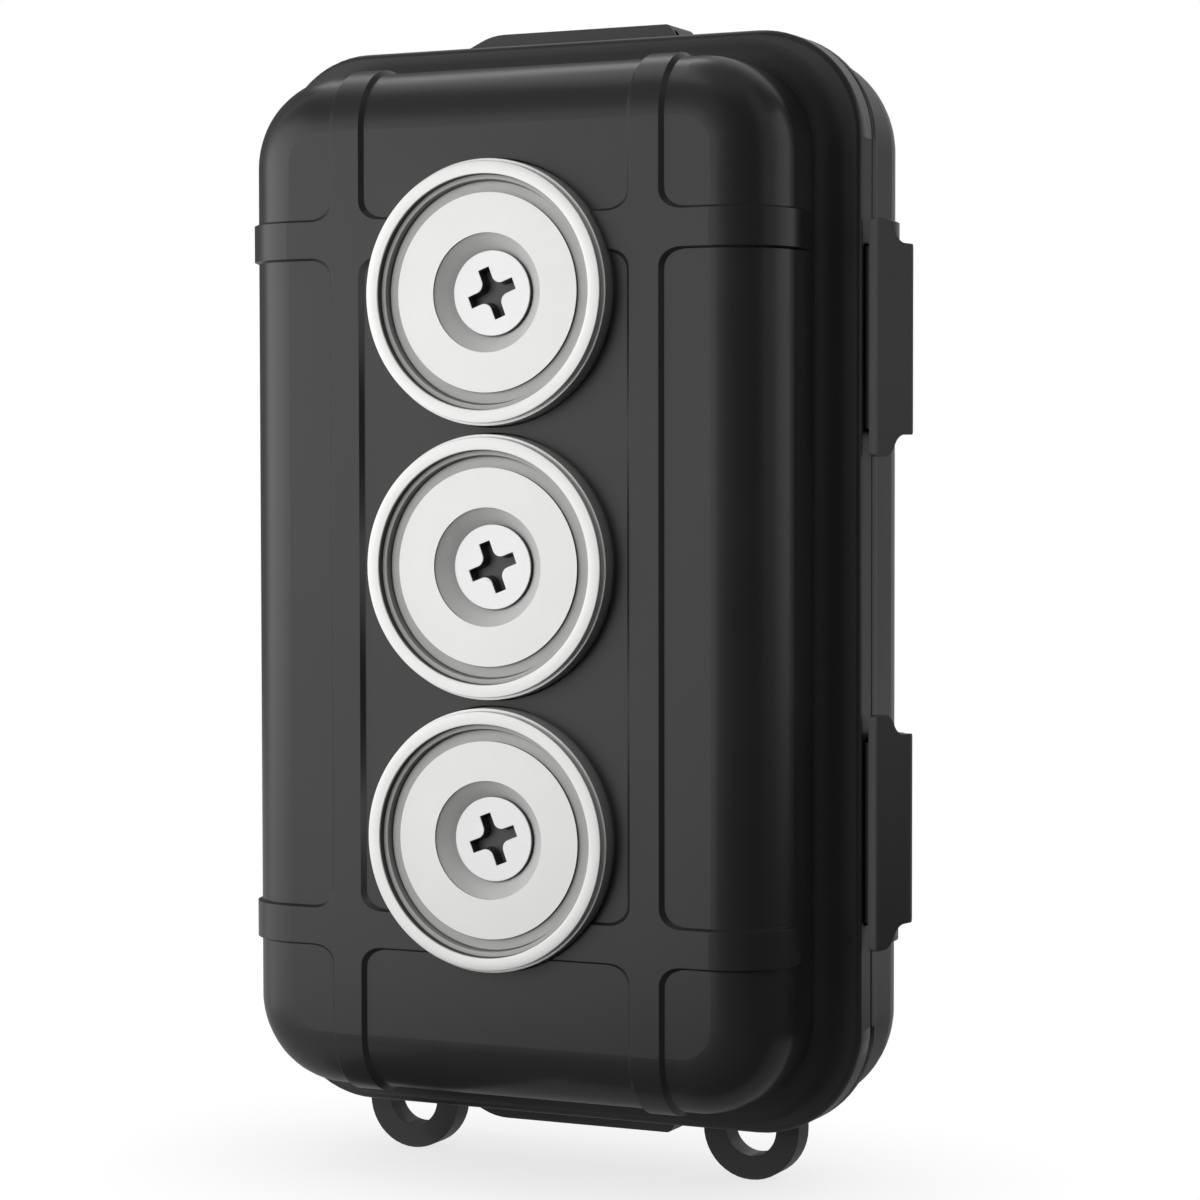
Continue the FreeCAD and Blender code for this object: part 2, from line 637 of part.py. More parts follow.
def make_latch(name, centre):
    """One latch in its own frame: the skin stands at X, its lip lies towards -Y, the pin along Z."""
    tail, wide = "(latch_tail / 2)", "(latch_length / 2)"
    sweep = block(f"{name}_skin_plate", (LATCH_INNER, "latch_outer"), ("-latch_reach", "0"),
                  (f"-{wide}", wide))
    curl = rod(f"{name}_curl", "latch_outer", f"-{tail}", tail)
    bind(curl, Angle="latch_wrap")
    bore = rod(f"{name}_skin_bore", LATCH_INNER, f"-{wide}", wide)
    outline = body_for(f"{name}_outline")
    sketch = sketch_on(outline, "YZ_Plane", "0")
    step = "(latch_length - latch_tail) / 2"
    bend = f"((latch_ease ^ 2 + ({step}) ^ 2) / (4 * {step}))"
    start, end = "(-latch_neck - latch_ease)", "(-latch_neck)"
    half_way, half_up = "(-latch_neck - latch_ease / 2)", f"({tail} + ({step}) / 2)"
    lip, lip_end, side = "-latch_reach", "(-latch_reach + latch_corner)", f"({wide} - latch_corner)"
    heel, heel_side = "(latch_outer * sin(latch_wrap))", f"({tail} - latch_corner)"
    heel_end = f"({heel} - latch_corner)"
    corner = ("latch_corner", 1)
    draw(sketch, [(lip, f"-{side}"), (lip_end, f"-{wide}", *corner), (start, f"-{wide}"),
                  (half_way, f"-{half_up}", bend, 1), (end, f"-{tail}", bend, -1), (heel_end, f"-{tail}"),
                  (heel, f"-{heel_side}", *corner), (heel, heel_side), (heel_end, tail, *corner),
                  (end, tail), (half_way, half_up, bend, -1), (start, wide, bend, 1), (lip_end, wide),
                  (lip, side, *corner)])
    pad(outline, sketch, "2 * latch_outer")
    blank = fuse(f"{name}_skin_blank", sweep, cut(f"{name}_curl_skin", curl, bore))
    skin = common(f"{name}_skin", blank, outline)
    solids = [skin]
    for side in ("-", "+"):
        start = f"({side} (latch_tail / 2 - cheek_width / 2) - cheek_width / 2)"
        end = f"{start} + cheek_width"
        solids.append(rod(f"{name}_ear", LATCH_INNER, start, end))
        solids.append(block(f"{name}_cheek", ("0", LATCH_INNER), ("-cheek_drop", "0"), (start, end)))
    tooth = "(tooth_length / 2)"
    solids.append(block(f"{name}_tooth", (f"{LATCH_INNER} - tooth_reach", f"{LATCH_INNER} + latch_skin / 2"),
                        ("-latch_reach + tooth_inset", "-latch_reach + tooth_inset + tooth_height"),
                        (f"-{tooth}", tooth)))
    pin_hole = rod(f"{name}_pin_hole", "latch_pin / 2 + pin_play", f"-{wide}", wide)
    latch = cut(name, fuse(f"{name}_solid", *solids), pin_hole)
    latch.Placement = Placement(Vector(), Rotation(Vector(0, 0, 1), -1))
    place(latch, LATCH_X, LATCH_Y, centre)
    latch.setExpression("Placement.Rotation.Angle", rule("-latch_lean"))
    return latch


def make_magnet(name, z):
    """One pot magnet: steel cup, ring magnet, potting between them and a countersunk centre bush."""
    bore = "ring_bore / 2"
    seat = "(magnet_depth - cup_floor)"
    body = disc(f"{name}_cup_body", "magnet_diameter / 2", "0", "magnet_depth", z=z)
    well = disc(f"{name}_cup_well", POTTING_RADIUS, "-cup_floor", seat, z=z)
    sink_end = f"({SEAT} + head_diameter / 2 - {HOLE})"
    sink_mouth = f"({SEAT} - cup_floor)"
    mouth_radius = "(head_diameter / 2 + screw_play + cup_floor)"
    sink = cone(f"{name}_cup_sink", mouth_radius, f"({HOLE} + screw_play)", sink_mouth, sink_end, z)
    hole = disc(f"{name}_cup_hole", HOLE, "0", "2 * magnet_depth", z=z)
    cup = body_for(f"{name}_magnet_cup")
    cup.BaseFeature = cut(f"{name}_cup_turned", body, well, sink, hole)
    doc.recompute()
    fillet(cup, "cup_edge", lies_at("0"))
    magnet = disc(f"{name}_ring_body", "ring_diameter / 2", "ring_drop", seat, z=z)
    ring = cut(f"{name}_ring_magnet", magnet, disc(f"{name}_ring_hole", bore, "0", "magnet_depth", z=z))
    resin = disc(f"{name}_potting_body", POTTING_RADIUS, "potting_drop", seat, z=z)
    inside = disc(f"{name}_potting_hole", "ring_diameter / 2", "0", "magnet_depth", z=z)
    potting = cut(f"{name}_potting_ring", resin, inside)
    bush_sink = cone(f"{name}_bush_sink", mouth_radius, f"({HOLE} + screw_play)", sink_mouth, sink_end, z)
    bush = cut(f"{name}_centre_bush", disc(f"{name}_bush_body", bore, "ring_drop", seat, z=z), bush_sink)
    return cup, ring, potting, bush


def make_fastening(name, z):
    """The countersunk screw of one magnet, and the seal, washer and nut behind its tower."""
    neck = f"({SEAT} + head_diameter / 2 - screw_diameter / 2)"
    face = disc(f"{name}_screw_face", "head_diameter / 2", "head_drop", SEAT, z=z)
    head = cone(f"{name}_screw_head", "head_diameter / 2", SHANK, SEAT, neck, z)
    shank = disc(f"{name}_screw_shank", SHANK, neck, SCREW_END, z=z)
    cross = body_for(f"{name}_recess")
    sketch = sketch_on(cross, "XY_Plane", "0")
    arm, tip, turn = "recess_width / 2", "recess_span / 2", "(recess_width / 2 + recess_corner)"
    path = [(tip, f"-({arm})"), (tip, arm), (turn, arm), (arm, turn, "recess_corner", -1),
            (arm, tip), (f"-({arm})", tip), (f"-({arm})", turn), (f"-({turn})", arm, "recess_corner", -1),
            (f"-({tip})", arm), (f"-({tip})", f"-({arm})"), (f"-({turn})", f"-({arm})"),
            (f"-({arm})", f"-({turn})", "recess_corner", -1), (f"-({arm})", f"-({tip})"), (arm, f"-({tip})"),
            (arm, f"-({turn})"), (turn, f"-({arm})", "recess_corner", -1)]
    draw(sketch, path)
    sketch.AttachmentOffset = Placement(Vector(), Rotation(Vector(0, 0, 1), -1))
    sketch.setExpression("AttachmentOffset.Rotation.Angle", rule("-recess_turn"))
    pad(cross, sketch, "recess_depth", taper="-recess_taper")
    place(cross, "0", "head_drop", z, Rotation(Vector(1, 0, 0), -90))
    screw = cut(f"{name}_screw", fuse(f"{name}_screw_blank", face, head, shank), cross)
    seal_end = f"({POCKET_TOP} + seal_thickness)"
    washer_end = f"({seal_end} + washer_thickness)"
    seal_blank = disc(f"{name}_seal_body", "seal_diameter / 2", POCKET_TOP, seal_end, z=z)
    seal = cut(f"{name}_seal", seal_blank, disc(f"{name}_seal_hole", SHANK, "0", washer_end, z=z))
    washer_blank = disc(f"{name}_washer_body", "washer_diameter / 2", seal_end, washer_end, z=z)
    washer = cut(f"{name}_washer", washer_blank, disc(f"{name}_washer_hole", HOLE, "0", SCREW_END, z=z))
    blank = doc.addObject("Part::Prism", f"{name}_nut_body")
    bind(blank, Circumradius="nut_width / sqrt(3)", Height="nut_height")
    place(blank, "0", washer_end, z, ALONG_Y)
    nut = cut(f"{name}_nut", blank, disc(f"{name}_nut_hole", SHANK, "0", SCREW_END, z=z))
    return screw, seal, washer, nut


def make_pin(name, diameter, length, x, y, centre):
    """A plain steel pin along Z."""
    return rod(name, f"{diameter} / 2", f"{centre} - ({length}) / 2", f"{centre} + ({length}) / 2", x, y)


nodes = [make_base(), make_lid()]
gasket_start = f"{PARTING} + tongue_rise"
nodes.append(ring_along("gasket", widened(GROOVE_SIZE, "gasket_play"), "(groove_width - 2 * gasket_play)",
                        gasket_start, f"({GROOVE_DEPTH} - tongue_rise)"))
for name, centre in SIDES:
    nodes.append(make_latch(f"{name}_latch", centre))
    nodes.append(make_pin(f"{name}_latch_pin", "latch_pin", "latch_tail", LATCH_X, LATCH_Y, centre))
    nodes.append(make_pin(f"{name}_hinge_pin", "hinge_pin", "hinge_length", HINGE_X, PARTING, centre))
fastenings = []
for name, z in MAGNETS:
    nodes += make_magnet(name, z)
    fastenings.append(make_fastening(name, z))
for kind, items in zip(("magnet_screws", "screw_seals", "screw_washers", "screw_nuts"), zip(*fastenings)):
    nodes.append(group(kind, list(items)))
doc.recompute()

for item in doc.Objects:
    if "Invalid" in item.State or "Error" in item.State:
        raise RuntimeError(f"{item.Name} failed: {item.State}")
os.makedirs("parts", exist_ok=True)
for node in nodes:
    node.Label = node.Name
    if node.Shape.isNull() or not node.Shape.isValid():
        raise RuntimeError(f"{node.Name} has no valid shape")
for node in nodes:
    node.Shape.exportStep(f"parts/{node.Label}.step")
    print(node.Label, len(node.Shape.Solids), round(node.Shape.Volume, 1))
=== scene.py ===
import json
import math

import bmesh
import bpy
import numpy as np
from mathutils import Matrix, Vector


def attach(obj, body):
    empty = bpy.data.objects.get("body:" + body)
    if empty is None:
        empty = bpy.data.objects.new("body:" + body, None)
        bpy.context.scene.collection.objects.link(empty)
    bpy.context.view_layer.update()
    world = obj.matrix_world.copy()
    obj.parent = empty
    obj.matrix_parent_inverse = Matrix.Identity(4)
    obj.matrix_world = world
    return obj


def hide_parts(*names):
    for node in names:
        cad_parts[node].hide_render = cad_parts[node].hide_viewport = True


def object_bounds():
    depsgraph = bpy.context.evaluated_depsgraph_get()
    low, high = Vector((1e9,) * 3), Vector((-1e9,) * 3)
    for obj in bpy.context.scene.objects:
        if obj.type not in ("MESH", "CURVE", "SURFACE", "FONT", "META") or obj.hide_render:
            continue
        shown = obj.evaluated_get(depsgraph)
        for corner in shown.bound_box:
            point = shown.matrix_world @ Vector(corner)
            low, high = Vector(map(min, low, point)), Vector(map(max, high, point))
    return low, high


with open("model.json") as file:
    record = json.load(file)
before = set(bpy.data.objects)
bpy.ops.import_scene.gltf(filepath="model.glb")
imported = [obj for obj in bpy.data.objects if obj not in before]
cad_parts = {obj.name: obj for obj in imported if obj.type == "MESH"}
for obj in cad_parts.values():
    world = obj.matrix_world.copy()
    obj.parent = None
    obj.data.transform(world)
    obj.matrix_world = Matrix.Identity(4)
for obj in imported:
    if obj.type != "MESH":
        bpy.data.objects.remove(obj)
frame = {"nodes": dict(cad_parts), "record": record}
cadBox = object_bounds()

mm = 0.001
pureWhite = (1, 1, 1, 1)
# a Mix node's two colour inputs and its colour output go by number
mixUnder, mixOver, mixResult = 6, 7, 2
print("frame loaded:", len(frame["nodes"]), "nodes")


def linear(hexColour):
    # sRGB hex to linear: each channel over 12.92 near black, else a 2.4 power curve
    channels = [int(hexColour[i:i + 2], 16) / 255 for i in (1, 3, 5)]
    return [c / 12.92 if c <= 0.04045 else ((c + 0.055) / 1.055) ** 2.4 for c in channels] + [1.0]


def addNode(tree, kind, links=(), settings=(), numbered=(), **named):
    # one node: links as (input, other node, its output), settings as attributes,
    # then values by the number or the name of the input
    node = tree.nodes.new(kind)
    for name, value in dict(settings).items():
        setattr(node, name, value)
    for number, value in dict(numbered).items():
        node.inputs[number].default_value = value
    for name, value in named.items():
        node.inputs[name.replace("_", " ")].default_value = value
    for target, source, output in links:
        tree.links.new(source.outputs[output], node.inputs[target])
    return node


def addMath(tree, operation, first, second):
    # first is (node, its output), second a number or another such pair
    links = [(0, *first)] + ([(1, *second)] if isinstance(second, tuple) else [])
    fixed = {} if isinstance(second, tuple) else {1: second}
    return addNode(tree, "ShaderNodeMath", links, {"operation": operation}, fixed)


def addNoise(tree, place, size, **values):
    # noise in Object coordinates whose features are about that size
    return addNode(tree, "ShaderNodeTexNoise", [("Vector", place, "Object")], Scale=1 / size, **values)


def addRange(tree, source, start, end, low=0.0, high=1.0):
    # source is (node, its output), whose values from start to end become low to high
    return addNode(tree, "ShaderNodeMapRange", [("Value", *source)],
                   From_Min=start, From_Max=end, To_Min=low, To_Max=high)


def addBump(tree, height, strength, depth, links=()):
    # relief from a node's first output
    return addNode(tree, "ShaderNodeBump", [("Height", height, 0), *links],
                   Strength=strength, Distance=depth)


def newMaterial(name, **values):
    # a material whose uniform values stand on the shader's own sockets
    material = bpy.data.materials.new(name)
    material.use_nodes = True
    material.cycles.emission_sampling = "NONE"  # the cards glow without being sampled as lamps
    tree = material.node_tree
    shader = tree.nodes["Principled BSDF"]
    for key, value in values.items():
        shader.inputs[key.replace("_", " ")].default_value = value
    return material, tree, shader


def mixed(tree, factor, under, over):
    # one hex colour over another, or over an earlier mix, by a node's first output
    node = addNode(tree, "ShaderNodeMix", [(0, factor, 0)], {"data_type": "RGBA"},
                   {mixOver: linear(over)})
    if isinstance(under, str):
        node.inputs[mixUnder].default_value = linear(under)
    else:
        tree.links.new(under.outputs[mixResult], node.inputs[mixUnder])
    return node


def dress(tree, shader, tint, bump):
    # the colour and the relief that every finish has
    tree.links.new(tint.outputs[mixResult], shader.inputs["Base Color"])
    tree.links.new(bump.outputs["Normal"], shader.inputs["Normal"])


# ABS and nylon from a spark-eroded steel mould: an even satin black whose highlights are broad
# and soft, with faint clouds left by the flow of the melt and edges that the mould leaves
# slightly round
mouldedPlastic = {
    "case": {"dark": "#212122", "pale": "#262627", "rough": 0.31, "cove": True},
    # the latch's paler lip colour is a painted highlight
    "latch": {"dark": "#272728", "pale": "#2c2c2d", "rough": 0.42, "paintedLipHighlight": "#535356"},
    "refraction": 1.55,
    "paintedLipHighlightDepth": (22.15 * mm, 22.4 * mm),  # a painted highlight: the latches' lips are coloured paler in front of this depth
    "grainSize": 0.35 * mm,  # the real grain is near 0.05 mm: drawn coarser so that it shows
    "grainDetail": 3.0,
    "grainRoughness": 0.6,
    "grainStrength": 0.5,
    "grainDepth": 0.003 * mm,
    "flowSize": 14 * mm,  # clouds along the flow of the melt
    "flowDetail": 2.0,
    "flowWarp": 0.6,
    "flowRange": (0.3, 0.7),  # the part of the clouds' values that changes the roughness
    "flowSpread": 0.02,  # that change either way
    "edgeRadius": 0.1 * mm,  # the mould's own rounding
    "edgeSamples": 4,
    "coveDepth": 19.0 * mm,  # the mould's polish doesn't reach into the cove beside the flange
    "coveReach": (1.1 * mm, 2.2 * mm),  # from there: full up to the first, gone past the second
    "coveRough": 0.6,
}


def satinPlastic(name, look):
    cfg = mouldedPlastic
    rough, change = look["rough"], cfg["flowSpread"]
    material, tree, shader = newMaterial(name, IOR=cfg["refraction"])
    place = addNode(tree, "ShaderNodeTexCoord")
    axes = addNode(tree, "ShaderNodeSeparateXYZ", [("Vector", place, "Object")])
    edge = addNode(tree, "ShaderNodeBevel", settings={"samples": cfg["edgeSamples"]},
                   Radius=cfg["edgeRadius"])
    grain = addNoise(tree, place, cfg["grainSize"], Detail=cfg["grainDetail"],
                     Roughness=cfg["grainRoughness"])
    bump = addBump(tree, grain, cfg["grainStrength"], cfg["grainDepth"], [("Normal", edge, "Normal")])
    flow = addNoise(tree, place, cfg["flowSize"], Detail=cfg["flowDetail"], Distortion=cfg["flowWarp"])
    spread = addRange(tree, (flow, 0), *cfg["flowRange"], rough - change, rough + change)
    tint = mixed(tree, flow, look["dark"], look["pale"])
    if "cove" in look:  # rougher, the nearer to the cove's depth
        off = addMath(tree, "SUBTRACT", (axes, "Y"), cfg["coveDepth"])
        away = addNode(tree, "ShaderNodeMath", [(0, off, 0)], {"operation": "ABSOLUTE"})
        coarse = addRange(tree, (away, 0), *cfg["coveReach"], cfg["coveRough"], rough)
        spread = addMath(tree, "MAXIMUM", (spread, 0), (coarse, 0))
    if "paintedLipHighlight" in look:  # a painted highlight on what lies in front of the lip's plane
        front = addRange(tree, (axes, "Y"), *cfg["paintedLipHighlightDepth"], 1.0, 0.0)
        tint = mixed(tree, front, tint, look["paintedLipHighlight"])
    tree.links.new(spread.outputs[0], shader.inputs["Roughness"])
    dress(tree, shader, tint, bump)
    return material


# all that turns about a magnet's axis shares this row of axes: the middle one's height and the pitch
magnetAxes = {"lift": 2.4 * mm, "pitch": 33.0 * mm}


def axisDistance(tree, axes):
    # distance from the nearest magnet's axis: z is wrapped to half a pitch either way
    half = magnetAxes["pitch"] / 2
    fromLift = addMath(tree, "SUBTRACT", (axes, "Z"), magnetAxes["lift"])
    wrapped = addNode(tree, "ShaderNodeMath", [(0, fromLift, 0)], {"operation": "WRAP"},
                      {1: half, 2: -half})
    flat = addNode(tree, "ShaderNodeCombineXYZ", [("X", axes, "X"), ("Y", wrapped, 0)])
    return addNode(tree, "ShaderNodeVectorMath", [(0, flat, 0)], {"operation": "LENGTH"})


# nickel and zinc plate over pressed or turned steel: a milky, passivated skin, so part of the
# light scatters as on paint and part mirrors softly, with the faint rings of turning
platedMetal = {
    "cup": {"pale": "#e6e6e4", "dark": "#dddddb", "rough": 0.32, "metallic": 0.6,
            "paintedShadeFrom": 0.1 * mm, "paintedShadeWithin": 14.5 * mm},  # painted shade up the wall inside the rim
    "magnet": {"pale": "#e2e2e1", "dark": "#dadad8", "rough": 0.34, "metallic": 0.55,
               "paintedShadeFrom": 1.44 * mm},  # painted shade on the ring's side, just behind its face
    "screw": {"pale": "#e8e8e8", "dark": "#e0e0e0", "rough": 0.33, "metallic": 0.6,
              "paintedShadeFrom": 2.93 * mm},  # painted shade in the cross and on the head's side, just behind its face
    "nut": {"pale": "#cfcfc8", "dark": "#b9bcc4", "rough": 0.35, "metallic": 0.9},
    "ringSpacing": 0.3 * mm,  # real turning marks are near 0.1 mm apart: drawn wider so that they show
    "ringDetail": 1.0,
    "ringStrength": 0.6,
    "ringDepth": 0.0015 * mm,
    "blotchSize": 5 * mm,
    "blotchDetail": 3.0,
    "blotchRange": (0.1, 0.9),  # the part of the blotches' values that changes the roughness
    "blotchSpread": 0.03,  # that change either way
    # the painted shade's colour behind the faces, where the plate also stops being metallic
    "paintedShadeColour": "#3b3b3b",
    "paintedShadeBlend": 0.05 * mm,
}


def plated(name, look):
    cfg = platedMetal
    rough, change = look["rough"], cfg["blotchSpread"]
    material, tree, shader = newMaterial(name, Metallic=look["metallic"])
    place = addNode(tree, "ShaderNodeTexCoord")
    axes = addNode(tree, "ShaderNodeSeparateXYZ", [("Vector", place, "Object")])
    radius = axisDistance(tree, axes)
    ringCount = addMath(tree, "DIVIDE", (radius, "Value"), cfg["ringSpacing"])
    rings = addNode(tree, "ShaderNodeTexNoise", [("W", ringCount, 0)], {"noise_dimensions": "1D"},
                    Scale=1.0, Detail=cfg["ringDetail"])
    bump = addBump(tree, rings, cfg["ringStrength"], cfg["ringDepth"])
    blotch = addNoise(tree, place, cfg["blotchSize"], Detail=cfg["blotchDetail"])
    spread = addRange(tree, (blotch, 0), *cfg["blotchRange"], rough - change, rough + change)
    tint = mixed(tree, blotch, look["dark"], look["pale"])
    if "paintedShadeFrom" in look:  # painted shade: a mask that steps at a depth behind the face
        below = addRange(tree, (axes, "Y"), look["paintedShadeFrom"], look["paintedShadeFrom"] + cfg["paintedShadeBlend"])
        if "paintedShadeWithin" in look:  # and only nearer to the axis than this
            inside = addMath(tree, "LESS_THAN", (radius, "Value"), look["paintedShadeWithin"])
            below = addMath(tree, "MULTIPLY", (below, 0), (inside, 0))
        tint = mixed(tree, below, tint, cfg["paintedShadeColour"])
        metal = addRange(tree, (below, 0), 0.0, 1.0, look["metallic"], 0.0)
        tree.links.new(metal.outputs["Result"], shader.inputs["Metallic"])
    tree.links.new(spread.outputs["Result"], shader.inputs["Roughness"])
    dress(tree, shader, tint, bump)
    return material


# poured grey epoxy and moulded grey nylon: matt, evenly filled, a little cloudy, with fine pinholes
greyFilling = {
    "resin": {"dark": "#949493", "pale": "#a0a09e", "rough": 0.5},
    "bush": {"dark": "#aaaaa9", "pale": "#b6b6b4", "rough": 0.46},
    "refraction": 1.55,
    "cloudSize": 3 * mm,
    "cloudDetail": 4.0,
    "poreSize": 0.9 * mm,  # one pinhole in each cell of this size
    "poreWidth": (0.05, 0.15),  # floor and lip of the pinhole, as shares of the cell
    "poreStrength": 0.4,
    "poreDepth": 0.01 * mm,
}


def filling(name, look):
    cfg = greyFilling
    material, tree, shader = newMaterial(name, Roughness=look["rough"], IOR=cfg["refraction"])
    place = addNode(tree, "ShaderNodeTexCoord")
    cloud = addNoise(tree, place, cfg["cloudSize"], Detail=cfg["cloudDetail"])
    cells = addNode(tree, "ShaderNodeTexVoronoi", [("Vector", place, "Object")],
                    Scale=1 / cfg["poreSize"])
    pore = addRange(tree, (cells, "Distance"), *cfg["poreWidth"])
    bump = addBump(tree, pore, cfg["poreStrength"], cfg["poreDepth"])
    dress(tree, shader, mixed(tree, cloud, look["dark"], look["pale"]), bump)
    return material


# moulded silicone: matt dark grey with a soft powdery surface
siliconeSeal = {"dark": "#2c2c2c", "pale": "#3d3d3d", "rough": 0.62, "refraction": 1.41, "sheen": 0.15,
                "powderSize": 0.4 * mm, "powderDetail": 4.0, "powderRoughness": 0.7,
                "powderStrength": 0.3, "powderDepth": 0.01 * mm}


def silicone(name):
    cfg = siliconeSeal
    material, tree, shader = newMaterial(name, Roughness=cfg["rough"], IOR=cfg["refraction"],
                                         Sheen_Weight=cfg["sheen"])
    place = addNode(tree, "ShaderNodeTexCoord")
    powder = addNoise(tree, place, cfg["powderSize"], Detail=cfg["powderDetail"],
                      Roughness=cfg["powderRoughness"])
    bump = addBump(tree, powder, cfg["powderStrength"], cfg["powderDepth"])
    dress(tree, shader, mixed(tree, powder, cfg["dark"], cfg["pale"]), bump)
    return material


# drawn steel wire: streaks run along the pins, so the noise is stretched along Z
drawnWire = {"dark": "#9c9c98", "pale": "#c0c0bb", "rough": 0.3,
             "streakWidth": 0.12 * mm, "streakLength": 8 * mm,
             "streakDetail": 2.0, "streakStrength": 0.4, "streakDepth": 0.004 * mm}


def wire(name):
    cfg = drawnWire
    across, along = 1 / cfg["streakWidth"], 1 / cfg["streakLength"]
    material, tree, shader = newMaterial(name, Metallic=1.0, Roughness=cfg["rough"])
    place = addNode(tree, "ShaderNodeTexCoord")
    stretch = addNode(tree, "ShaderNodeMapping", [("Vector", place, "Object")],
                      Scale=(across, across, along))
    streak = addNode(tree, "ShaderNodeTexNoise", [("Vector", stretch, 0)],
                     Scale=1.0, Detail=cfg["streakDetail"])
    bump = addBump(tree, streak, cfg["streakStrength"], cfg["streakDepth"])
    dress(tree, shader, mixed(tree, streak, cfg["dark"], cfg["pale"]), bump)
    return material


finishes = {
    "case_plastic": satinPlastic("satinMouldedAbs", mouldedPlastic["case"]),
    "latch_plastic": satinPlastic("satinMouldedNylon", mouldedPlastic["latch"]),
    "seal_rubber": silicone("powderySilicone"),
    "cup_nickel": plated("brightNickelPlate", platedMetal["cup"]),
    "magnet_nickel": plated("satinNickelPlate", platedMetal["magnet"]),
    "potting_resin": filling("greyCastingResin", greyFilling["resin"]),
    "bush_plastic": filling("greyMouldedNylon", greyFilling["bush"]),
    "screw_steel": plated("brightZincPlate", platedMetal["screw"]),
    "nut_steel": plated("clearZincPlate", platedMetal["nut"]),
    "pin_steel": wire("drawnSteelWire"),
}
slotOf = {part["node"]: part["material_slot"] for part in frame["record"]["subparts"]}
bodyOf = {node: body for body, nodes in frame["record"]["behaviour"]["bodies"].items() for node in nodes}
for name, node in frame["nodes"].items():
    node.data.materials.clear()
    node.data.materials.append(finishes[slotOf[name]])
print("finishes made:", len(finishes))


def addObject(name, data):
    thing = bpy.data.objects.new(name, data)
    bpy.context.scene.collection.objects.link(thing)
    return thing


def addPiece(name, mesh, standsFor):
    # a finished piece that rides with the node it stands for
    piece = addObject(name, mesh)
    mesh.materials.clear()
    mesh.materials.append(finishes[slotOf[standsFor]])
    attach(piece, bodyOf[standsFor])
    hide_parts(standsFor)
    return piece


# poured resin: a shelf below the cup's rim, a fine shrink gap at its foot, then the pool round
# the magnet, which creeps a little up the magnet's wall
pouredResin = {"inner": 12.0 * mm, "outer": 14.1 * mm, "bottom": 5.0 * mm, "shelfTop": 0.95 * mm,
               "shelfInner": 13.5 * mm, "gapWidth": 0.15 * mm, "gapDepth": 0.6 * mm, "top": 1.95 * mm,
               "creep": 0.12 * mm, "edge": 0.1 * mm, "across": 16}
# pressed and turned cup: its rim stands on a step, and every corner is broken
turnedCup = {"outer": 16.0 * mm, "rim": 15.68 * mm, "step": 0.95 * mm, "edge": 0.1 * mm,
             "inner": 14.12 * mm, "depth": 7.0 * mm, "floor": 5.0 * mm, "sinkTop": 3.8 * mm,
             "sinkEnd": (3.0 * mm, 5.8 * mm), "hole": 2.75 * mm, "corner": 0.3 * mm}
magnetPlaces = {"upper": 1, "middle": 0, "lower": -1}  # in pitches from the middle one
turning = {"around": 180, "arcPoints": 5, "sharpFrom": 40}  # points round a ring and an arc, degrees


def turnedRing(name, profile, centreHeight):
    # a closed profile of (radius, depth) carried round an axis along Y:
    # x = r cos a, z = centre + r sin a
    angle = np.linspace(0, 2 * np.pi, turning["around"], endpoint=False)
    r, a = np.meshgrid(profile[:, 0], angle, indexing="ij")
    y = np.broadcast_to(profile[:, 1][:, None], r.shape)
    points = np.stack([r * np.cos(a), y, centreHeight + r * np.sin(a)], -1)
    index = np.arange(r.size).reshape(r.shape)
    nextAround, nextAlong = np.roll(index, -1, 1), np.roll(index, -1, 0)
    both = np.roll(nextAround, -1, 0)
    quads = np.stack([index, nextAlong, both, nextAround], -1).reshape(-1, 4)
    mesh = bpy.data.meshes.new(name)
    mesh.from_pydata(points.reshape(-1, 3).tolist(), [], quads.tolist())
    mesh.shade_smooth()
    mesh.set_sharp_from_angle(angle=math.radians(turning["sharpFrom"]))
    return mesh


def arc(centre, radius, start, end):
    # points of an arc about a centre, from one angle to another in degrees
    a = np.radians(np.linspace(start, end, turning["arcPoints"]))
    return np.stack([centre[0] + radius * np.cos(a), centre[1] + radius * np.sin(a)], -1)


def resinProfile():
    cfg = pouredResin
    inner, outer, top, edge = cfg["inner"], cfg["outer"], cfg["top"], cfg["edge"]
    poolEdge = cfg["shelfInner"] - cfg["gapWidth"]
    share = np.linspace(0, 1, cfg["across"])
    # depth falls towards the magnet with the cube of the distance from the gap
    poolRadius = poolEdge - edge - share * (poolEdge - edge - inner)
    pool = np.stack([poolRadius, top - cfg["creep"] * share ** 3], -1)
    return np.concatenate([
        arc((outer - edge, cfg["shelfTop"] + edge), edge, 0, -90),
        arc((cfg["shelfInner"] + edge, cfg["shelfTop"] + edge), edge, 270, 180),
        [(cfg["shelfInner"], top + cfg["gapDepth"]), (poolEdge, top + cfg["gapDepth"])],
        arc((poolEdge - edge, top + edge), edge, 0, -90), pool[1:],
        [(inner, cfg["bottom"]), (outer, cfg["bottom"])]])


def cupProfile():
    cfg = turnedCup
    outer, rim, step, edge, turn = cfg["outer"], cfg["rim"], cfg["step"], cfg["edge"], cfg["corner"]
    return np.concatenate([
        [(cfg["hole"], cfg["depth"]), (outer - turn, cfg["depth"]), (outer, cfg["depth"] - turn)],
        arc((outer - edge / 2, step + edge / 2), edge / 2, 0, -90),
        [(rim, step)],
        arc((rim - edge, edge), edge, 0, -90),
        arc((cfg["inner"] + edge, edge), edge, 270, 180),
        [(cfg["inner"], cfg["floor"]), (cfg["sinkTop"], cfg["floor"]), cfg["sinkEnd"],
         (cfg["hole"], cfg["sinkEnd"][1])]])


